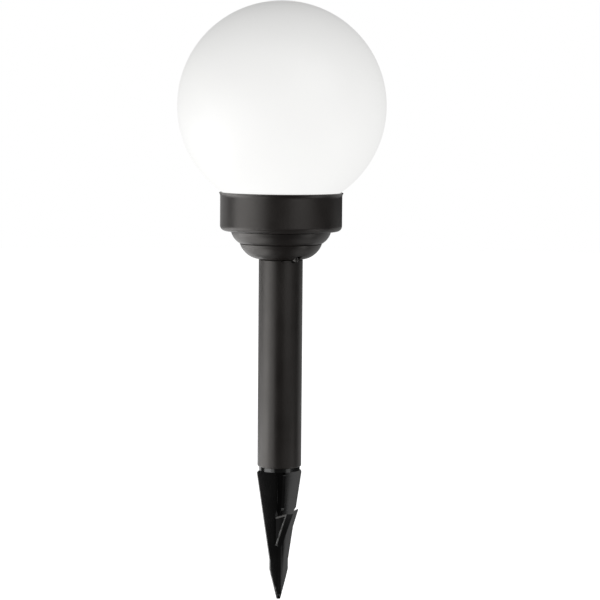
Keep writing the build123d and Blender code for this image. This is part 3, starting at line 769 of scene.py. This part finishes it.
def screw_blank(name, radius, head, length):
    """Threaded screw with a rounded head and a cross recess, its head's underside at the origin."""
    head_radius, head_height = head
    point = 2 * radius
    run = length - point
    steps = round(run / THREAD_PITCH * THREAD_STEPS)
    top = [
        (0, head_height, 0),
        (head_radius, head_height, HEAD_DOME * head_height),
        (head_radius, 0, SCREW_EDGE),
        (radius, 0, SCREW_EDGE),
    ]
    shank = [(radius, -run * step / steps, 0) for step in range(1, steps + 1)]
    end = [(SCREW_TIP * radius, -length, SCREW_EDGE), (0, -length, 0)]
    thread = [0] * len(top) + [THREAD_DEPTH] * len(shank) + [0] * len(end)
    profile = top + shank + end
    steel = finishes["screw_steel"]
    blank = turned_piece(name, profile, steel, closed=False, segments=SCREW_SEGMENTS, thread=thread)
    reach = head_radius - RECESS_MARGIN
    half = RECESS_WIDTH / 2
    floor = head_height - RECESS_DEPTH
    above = head_height + RECESS_OVERRUN
    slots = [
        ((-reach, -half, floor), (reach, half, above)),
        ((-half, -reach, floor), (half, reach, above)),
    ]
    for slot in slots:
        cutter = new_object("recess", boxes_mesh("recess", [slot]))
        recess = blank.modifiers.new("recess", "BOOLEAN")
        recess.operation = "DIFFERENCE"
        recess.object = cutter
        made_plain(blank)
        bpy.data.objects.remove(cutter)
    tidy_mesh(blank.data)
    return blank


def drive_screws(name, node, radius, head, places, upturned=False):
    """Row of screws in place of a CAD node, between the node's lowest and highest points."""
    low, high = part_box(node)
    length = (high.z - low.z) / MM - head[1]
    blank = screw_blank(name + "_blank", radius, head, length)
    seat = high.z - head[1] * MM
    if upturned:
        blank.data.transform(Matrix.Rotation(pi, 4, "X"))
        seat = low.z + head[1] * MM
    spots = [(x, y, seat, SCREW_TURN * step) for step, (x, y) in enumerate(places)]
    screws = set_out(name, blank, spots, finishes["screw_steel"])
    stand_in(screws, "head", "screw_steel", node)


def on_circle(count, radius, first_angle):
    """Places evenly spaced on a circle, in metres."""
    angles = [radians(first_angle + 360 / count * step) for step in range(count)]
    return [(radius * MM * cos(angle), radius * MM * sin(angle)) for angle in angles]


def drive_all_screws():
    """All screws: through the collar's floor, the deck, the battery holder and the board."""
    large = (SCREW_RADIUS, SCREW_HEAD)
    small = (SMALL_SCREW_RADIUS, SMALL_HEAD)
    drive_screws("base_fixings", "base_screws", *large, on_circle(*BASE_SCREWS))
    drive_screws("deck_fixings", "deck_screws", *large, on_circle(*DECK_SCREWS))
    _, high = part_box("holder_screws")
    reach = high.x - SMALL_HEAD[0] * MM
    drive_screws("holder_fixings", "holder_screws", *small, [(reach, 0), (-reach, 0)])
    low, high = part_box("board_screws")
    row = (low.y + high.y) / 2
    offset = BOARD_SCREW_OFFSET * MM
    places = [(offset, row), (-offset, row)]
    drive_screws("board_fixings", "board_screws", *small, places, upturned=True)


# Solar cells

def print_cells():
    """Silver fingers across each cell and a busbar along its middle."""
    low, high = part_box("solar_cells")
    pitch = (high.x - low.x + CELL_GAP * MM) / CELL_COUNT
    half_width = (pitch / MM - CELL_GAP) / 2
    half_length = (high.y - low.y) / 2 / MM
    count = int((2 * half_length - FINGER_PITCH) / FINGER_PITCH)
    middles = [low.x + pitch * (step + 0.5) - CELL_GAP * MM / 2 for step in range(CELL_COUNT)]
    rows = [(step - (count - 1) / 2) * FINGER_PITCH * MM for step in range(count)]
    reach = half_width - FINGER_MARGIN
    half = FINGER_WIDTH / 2
    finger = boxes_mesh("finger", [((-reach, -half, 0), (reach, half, FINGER_HEIGHT))])
    places = [(x, y, high.z, 0) for x in middles for y in rows]
    silver = finishes["tinned_metal"]
    fingers = set_out("cell_fingers", new_object("finger", finger), places, silver)
    stand_in(fingers, "head", "tinned_metal")
    reach = half_length - BUSBAR_MARGIN
    half = BUSBAR_WIDTH / 2
    busbar = boxes_mesh("busbar", [((-half, -reach, 0), (half, reach, BUSBAR_HEIGHT))])
    places = [(x, 0, high.z, 0) for x in middles]
    busbars = set_out("cell_busbars", new_object("busbar", busbar), places, silver)
    stand_in(busbars, "head", "tinned_metal")


# Circuit

def leg_pattern():
    """Bent leg that runs out of the chip's side and down to the board, towards +Y."""
    low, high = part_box("driver_chip")
    rise = LEG_RISE * (high.z - low.z) / MM
    half = LEG_WIDTH / 2
    knee = LEG_REACH / 2
    skin = LEG_THICKNESS
    return new_object("leg", boxes_mesh("leg", [
        ((-half, -skin, rise - skin), (half, knee, rise)),
        ((-half, knee - skin, 0), (half, knee, rise)),
        ((-half, knee - skin, 0), (half, LEG_REACH, skin)),
    ]))


def solder_chip():
    """Four legs along each long side of the driver chip."""
    low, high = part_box("driver_chip")
    middle = (low.x + high.x) / 2
    steps = [(step - (LEG_COUNT - 1) / 2) * LEG_PITCH * MM for step in range(LEG_COUNT)]
    back = [(middle + step, high.y, low.z, 0) for step in steps]
    front = [(middle + step, low.y, low.z, pi) for step in steps]
    legs = set_out("chip_legs", leg_pattern(), back + front, finishes["tinned_metal"])
    stand_in(legs, "head", "tinned_metal")


def winding_turns(outer, middle):
    """Radius and height of each turn of wire in the drum's groove, layer by layer, in millimetres."""
    for layer in range(WINDING_LAYERS):
        for turn in range(WINDING_TURNS):
            radius = outer - WINDING_GROOVE + WINDING_WIRE / 2 * (WINDING_FIT + 2 * layer)
            yield radius, middle + (turn - (WINDING_TURNS - 1) / 2) * WINDING_WIRE


def wind_inductor():
    """The inductor's turns as one piece of copper rings, side by side in the groove."""
    low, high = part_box("inductor")
    middle = (low + high) / 2
    wire = WINDING_WIRE / 2
    mesh = bpy.data.meshes.new("inductor_winding")
    work = bmesh.new()
    for radius, height in winding_turns((high.x - low.x) / 2 / MM, middle.z / MM):
        rings = []
        for step in range(WINDING_STEPS):
            swing = 2 * pi * step / WINDING_STEPS
            ring = []
            for side in range(WINDING_SIDES):
                tilt = 2 * pi * side / WINDING_SIDES
                reach = (radius + wire * cos(tilt)) * MM
                ring.append(work.verts.new((
                    middle.x + reach * cos(swing),
                    middle.y + reach * sin(swing),
                    (height + wire * sin(tilt)) * MM,
                )))
            rings.append(ring)
        for step in range(WINDING_STEPS):
            ahead = rings[(step + 1) % WINDING_STEPS]
            for side in range(WINDING_SIDES):
                beside = (side + 1) % WINDING_SIDES
                work.faces.new((rings[step][side], ahead[side], ahead[beside], rings[step][beside]))
    work.to_mesh(mesh)
    work.free()
    mesh.materials.append(finishes["copper_wire"])
    tidy_mesh(mesh)
    stand_in(new_object("inductor_winding", mesh), "head", "tinned_metal")


# Ground spike

UP = Vector((0, 0, 1))
FRONT_OUT = Vector((cos(radians(BARB_ANGLE)), sin(radians(BARB_ANGLE)), 0))
FRONT_SIDE = UP.cross(FRONT_OUT)


def sharpen_roots(work):
    """Draws the hollows between the fins in to the corners where the fins' faces meet."""
    quarter = 360 / FIN_COUNT
    nearest, furthest = ROOT_BAND
    for vert in work.verts:
        reach = vert.co.xy.length / MM
        bearing = degrees(atan2(vert.co.y, vert.co.x))
        side = (bearing - FIN_TURN) % quarter - quarter / 2
        if vert.co.z < FIN_TOP * MM and nearest < reach < furthest and abs(side) < ROOT_SPAN:
            corner = radians(bearing - side)
            vert.co.xy = ROOT_CORNER * MM * cos(corner), ROOT_CORNER * MM * sin(corner)
    bmesh.ops.remove_doubles(work, verts=work.verts, dist=MERGE_GAP)
    bmesh.ops.dissolve_degenerate(work, edges=work.edges, dist=MERGE_GAP)


def cut(work, faces, place, across):
    """Cuts some faces along a plane."""
    edges = dict.fromkeys(edge for face in faces for edge in face.edges)
    verts = dict.fromkeys(vert for face in faces for vert in face.verts)
    bmesh.ops.bisect_plane(work, geom=[*verts, *edges, *faces], plane_co=place, plane_no=across)


def cut_fins(work):
    """Cuts the fins into rows and strips, so that they can curl."""
    foot = cad_box[0][2]
    cuts = [(UP * foot * row / FIN_ROWS, UP) for row in range(1, FIN_ROWS)]
    for step in range(FIN_COUNT):
        turn = radians(FIN_TURN + 360 / FIN_COUNT * step)
        out = Vector((cos(turn), sin(turn), 0))
        strips = range(CORE_STRIPS, FIN_STRIPS)
        cuts += [(out * FIN_REACH * MM * strip / FIN_STRIPS, out) for strip in strips]
    for place, across in cuts:
        fins = [face for face in work.faces if all(vert.co.z < FIN_TOP * MM for vert in face.verts)]
        cut(work, fins, place, across)


def on_front_fin(place):
    """Reach, place across and height of a point, in millimetres, in the frame of the front fin."""
    return place.dot(FRONT_OUT) / MM, place.dot(FRONT_SIDE) / MM, place.z / MM


def barb_top(reach):
    """Height of the front barb's top edge at a reach from the axis."""
    return BARB_NOTCH + (BARB_TOP - BARB_NOTCH) * (reach - BARB_ROOT) / (BARB_REACH - BARB_ROOT)


def on_barb(place):
    """Whether a point lies on the front barb."""
    reach, _, height = on_front_fin(place)
    outside_core = reach > BARB_ROOT + BARB_MARGIN
    return outside_core and BARB_FOOT - BARB_MARGIN < height < barb_top(reach) + BARB_MARGIN


def barb_faces(work):
    """Faces of the front barb."""
    return [face for face in work.faces if on_barb(face.calc_center_median())]


def mark_barb_highlight(work):
    """Marks the front barb for a painted highlight along its top and along the left of its slanted edge.
    """
    slope = (FRONT_OUT * (BARB_TOP - BARB_FOOT) + UP * (BARB_ROOT - BARB_REACH)).normalized()
    top = (UP * (BARB_REACH - BARB_ROOT) - FRONT_OUT * (BARB_TOP - BARB_NOTCH)).normalized()
    cut(work, barb_faces(work), FRONT_SIDE * HIGHLIGHT_EDGE * MM, FRONT_SIDE)
    cut(work, barb_faces(work), (FRONT_OUT * BARB_ROOT + UP * (BARB_NOTCH - HIGHLIGHT_WIDTH)) * MM, top)
    work.normal_update()
    marks = work.faces.layers.float.new("scuff")
    for face in barb_faces(work):
        reach, across, height = on_front_fin(face.calc_center_median())
        near_top = height > barb_top(reach) - HIGHLIGHT_WIDTH
        on_slant = face.normal.dot(slope) > HIGHLIGHT_FACING and across < HIGHLIGHT_EDGE
        on_left = face.normal.dot(-FRONT_SIDE) > HIGHLIGHT_FACING and near_top
        face[marks] = float(on_slant or on_left or face.normal.dot(top) > HIGHLIGHT_FACING)


def broaden_barb(work):
    """Broadens the front barb and swings it out to the right."""
    for vert in work.verts:
        reach, across, _ = on_front_fin(vert.co)
        if on_barb(vert.co):
            half = FIN_ROOT_HALF - FIN_THINNING * reach
            moved = across / half * BARB_HALF + BARB_SWING * (reach - BARB_PIVOT)
            vert.co += FRONT_SIDE * (moved - across) * MM


def curl_fins(work):
    """Curls the fins slightly, all the same way round, as they cool out of the mould."""
    for vert in work.verts:
        if vert.co.z < FIN_TOP * MM:
            fin_edge = FIN_REACH * MM + FIN_TAPER * (vert.co.z - FIN_TOP * MM)
            swing = radians(FIN_CURL) * (vert.co.xy.length / fin_edge - 1)
            vert.co = Matrix.Rotation(swing, 3, "Z") @ vert.co


def reshape_fins(work):
    """All that is done to the fins before their edges are rounded."""
    sharpen_roots(work)
    cut_fins(work)
    mark_barb_highlight(work)
    broaden_barb(work)
    curl_fins(work)


def edge_share(place):
    """Less rounding along the front fin than on the rest."""
    on_front = place.z < 0 and place.dot(FRONT_OUT) > FRONT_FIN * MM
    return FRONT_EDGE_SHARE if on_front else 1.0


def mould_spike():
    """Spike with rounded edges and curled fins, with a painted highlight on its front barb's edges."""
    black = finishes["black_plastic"]
    spike = rounded_copy(
        "barbed_spike", "ground_spike", SPIKE_EDGE, black,
        segments=4, share=edge_share, reshape=reshape_fins)
    stand_in(spike, "spike", "black_plastic", "ground_spike")


# Small moulded pieces

def round_moulded_pieces():
    """Copies of the sharp-edged CAD nodes with their edges broken."""
    for name, node, body, finish, width in (
        ("chip_case", "driver_chip", "head", "chip_black", 0.15),
        ("chip_capacitor", "capacitor", "head", "ceramic_tan", 0.15),
        ("slide_switch_case", "switch_body", "head", "chip_black", 0.15),
        ("slide_switch_knob", "switch_slider", "switch", "switch_white", 0.2),
        ("battery_tray", "battery_holder", "head", "inner_plastic", 0.25),
        ("battery_contacts", "contact_plates", "head", "tinned_metal", 0.08),
        ("panel_backing", "panel_board", "head", "board_green", 0.1),
        ("panel_cover", "panel_window", "head", "clear_resin", 0.05),
    ):
        piece = rounded_copy(name, node, width, finishes[finish])
        stand_in(piece, body, finish, node)


dress_nodes()
blow_globe()
cut_gasket()
drive_all_screws()
print_cells()
solder_chip()
wind_inductor()
mould_spike()
round_moulded_pieces()


# Studio: floor, light and camera

def lay_floor():
    """Pale paper floor under the spike's tip, seen by the camera alone."""
    mesh = bpy.data.meshes.new("floor")
    work = bmesh.new()
    bmesh.ops.create_circle(work, cap_ends=True, radius=FLOOR_RADIUS, segments=FLOOR_SEGMENTS)
    bmesh.ops.translate(work, verts=work.verts, vec=(0, 0, cad_box[0][2] - FLOOR_GAP))
    work.to_mesh(mesh)
    work.free()
    floor = new_object("floor", mesh)
    paper = Finish("floor_paper")
    fibre = paper.noise(0.004, 3)
    sheet = paper.mix(paper.spread(fibre, 0, 1), (0.58, 0.58, 0.58), (0.60, 0.60, 0.60))
    paper.put("Base Color", sheet)
    paper.put("Roughness", 0.9)
    paper.put("Specular IOR Level", 0.0)
    paper.put("Emission Color", (1, 1, 1, 1))
    paper.put("Emission Strength", FLOOR_GLOW)
    mesh.materials.append(paper.material)
    floor.visible_diffuse = False
    floor.visible_glossy = False
    floor.visible_transmission = False
    floor.visible_shadow = False


def light_studio():
    """White surroundings for the camera, and a dim even light for the object."""
    world = bpy.data.worlds.new("studio")
    bpy.context.scene.world = world
    world.use_nodes = True
    tree = world.node_tree
    tree.nodes.clear()
    white = (1, 1, 1, 1)
    dim = add_node(tree, "ShaderNodeBackground", {"Color": white, "Strength": AMBIENT}).outputs[0]
    bright = add_node(tree, "ShaderNodeBackground", {"Color": white, "Strength": 1.0}).outputs[0]
    seen = add_node(tree, "ShaderNodeLightPath").outputs["Is Camera Ray"]
    mixed = add_node(tree, "ShaderNodeMixShader", {0: seen, 1: dim, 2: bright}).outputs[0]
    add_node(tree, "ShaderNodeOutputWorld", {"Surface": mixed})


def flagged(name, state, *pieces):
    """Flag that keeps a softbox's light off some pieces, or on them alone."""
    flag = bpy.data.collections.new(name)
    for piece in pieces:
        flag.objects.link(bpy.data.objects[piece])
    for link in flag.collection_objects:
        link.light_linking.link_state = state
    return flag


def hang_softbox(name, bearing, rise, width, height, radiance, flag=None):
    """Softbox aimed at the pole's top, from a bearing to the right of the front and a rise."""
    turn = radians(bearing - 90)
    level = LIGHT_DISTANCE * cos(radians(rise))
    above = LIGHT_DISTANCE * sin(radians(rise))
    aim_point = Vector((0, 0, LIGHT_AIM))
    offset = Vector((level * cos(turn), level * sin(turn), above))
    light = bpy.data.lights.new(name, "AREA")
    light.shape = "RECTANGLE"
    light.size = width
    light.size_y = height
    light.energy = radiance * pi * width * height
    lamp = new_object(name, light)
    aim = (-offset).to_track_quat("-Z", "Y").to_matrix().to_4x4()
    lamp.matrix_world = Matrix.Translation(aim_point + offset) @ aim
    lamp.visible_camera = False
    lamp.light_linking.receiver_collection = flag


def hang_softboxes():
    """All softboxes: bearing and rise in degrees, width and height in metres, radiance and flag."""
    off_globe = flagged("globe_flag", "EXCLUDE", "opal_globe")
    off_both = flagged("globe_and_spike_flag", "EXCLUDE", "opal_globe", "barbed_spike")
    off_spike = flagged("spike_off_flag", "EXCLUDE", "barbed_spike")
    on_spike = flagged("spike_flag", "INCLUDE", "barbed_spike")
    for name, *setting in (
        ("left", -72, 1, 1.3, 0.6, 1.4),
        ("left_lower", -90, -24, 1.7, 0.75, 2.05, off_spike),
        ("left_deep", -95, -55, 1.4, 0.8, 1.25, off_globe),
        ("left_front", -40, -14, 0.6, 1.2, 0.8),
        ("back_left", -150, -28, 1.5, 0.8, 1.25, off_globe),
        ("back", -145, 4, 1.6, 0.8, 0.5, off_globe),
        ("right_top", 38, 32, 1.3, 0.9, 1.5),
        ("right", 38, 2, 1.0, 0.5, 0.45),
        ("front_top", 0, 58, 1.4, 0.7, 0.9),
        ("right_lower", 74, -28, 0.7, 0.55, 0.95),
        ("back_right", 145, -22, 2.0, 1.0, 0.4, off_both),
        ("right_deep", 100, -55, 1.2, 0.7, 0.35),
        ("spike", 52, -18, 0.62, 0.36, 0.75, on_spike),
        ("shoulder", -70, -18, 1.1, 0.36, 2.0, on_spike),
    ):
        hang_softbox(name + "_softbox", *setting)


def set_camera():
    """Camera at the photograph's angle, looking slightly down and slightly rolled."""
    optics = bpy.data.cameras.new("camera")
    optics.sensor_fit = "HORIZONTAL"
    optics.sensor_width = CAMERA_SENSOR
    optics.lens = CAMERA_LENS
    optics.clip_start = CAMERA_NEAR
    optics.clip_end = CAMERA_FAR
    camera = new_object("camera", optics)
    tilt = Matrix.Rotation(radians(90 - CAMERA_TILT), 4, "X")
    roll = Matrix.Rotation(radians(CAMERA_ROLL), 4, "Z")
    camera.matrix_world = Matrix.Translation(CAMERA_PLACE) @ tilt @ roll
    bpy.context.scene.camera = camera


bpy.context.scene.view_settings.view_transform = "Standard"
lay_floor()
light_studio()
hang_softboxes()
set_camera()
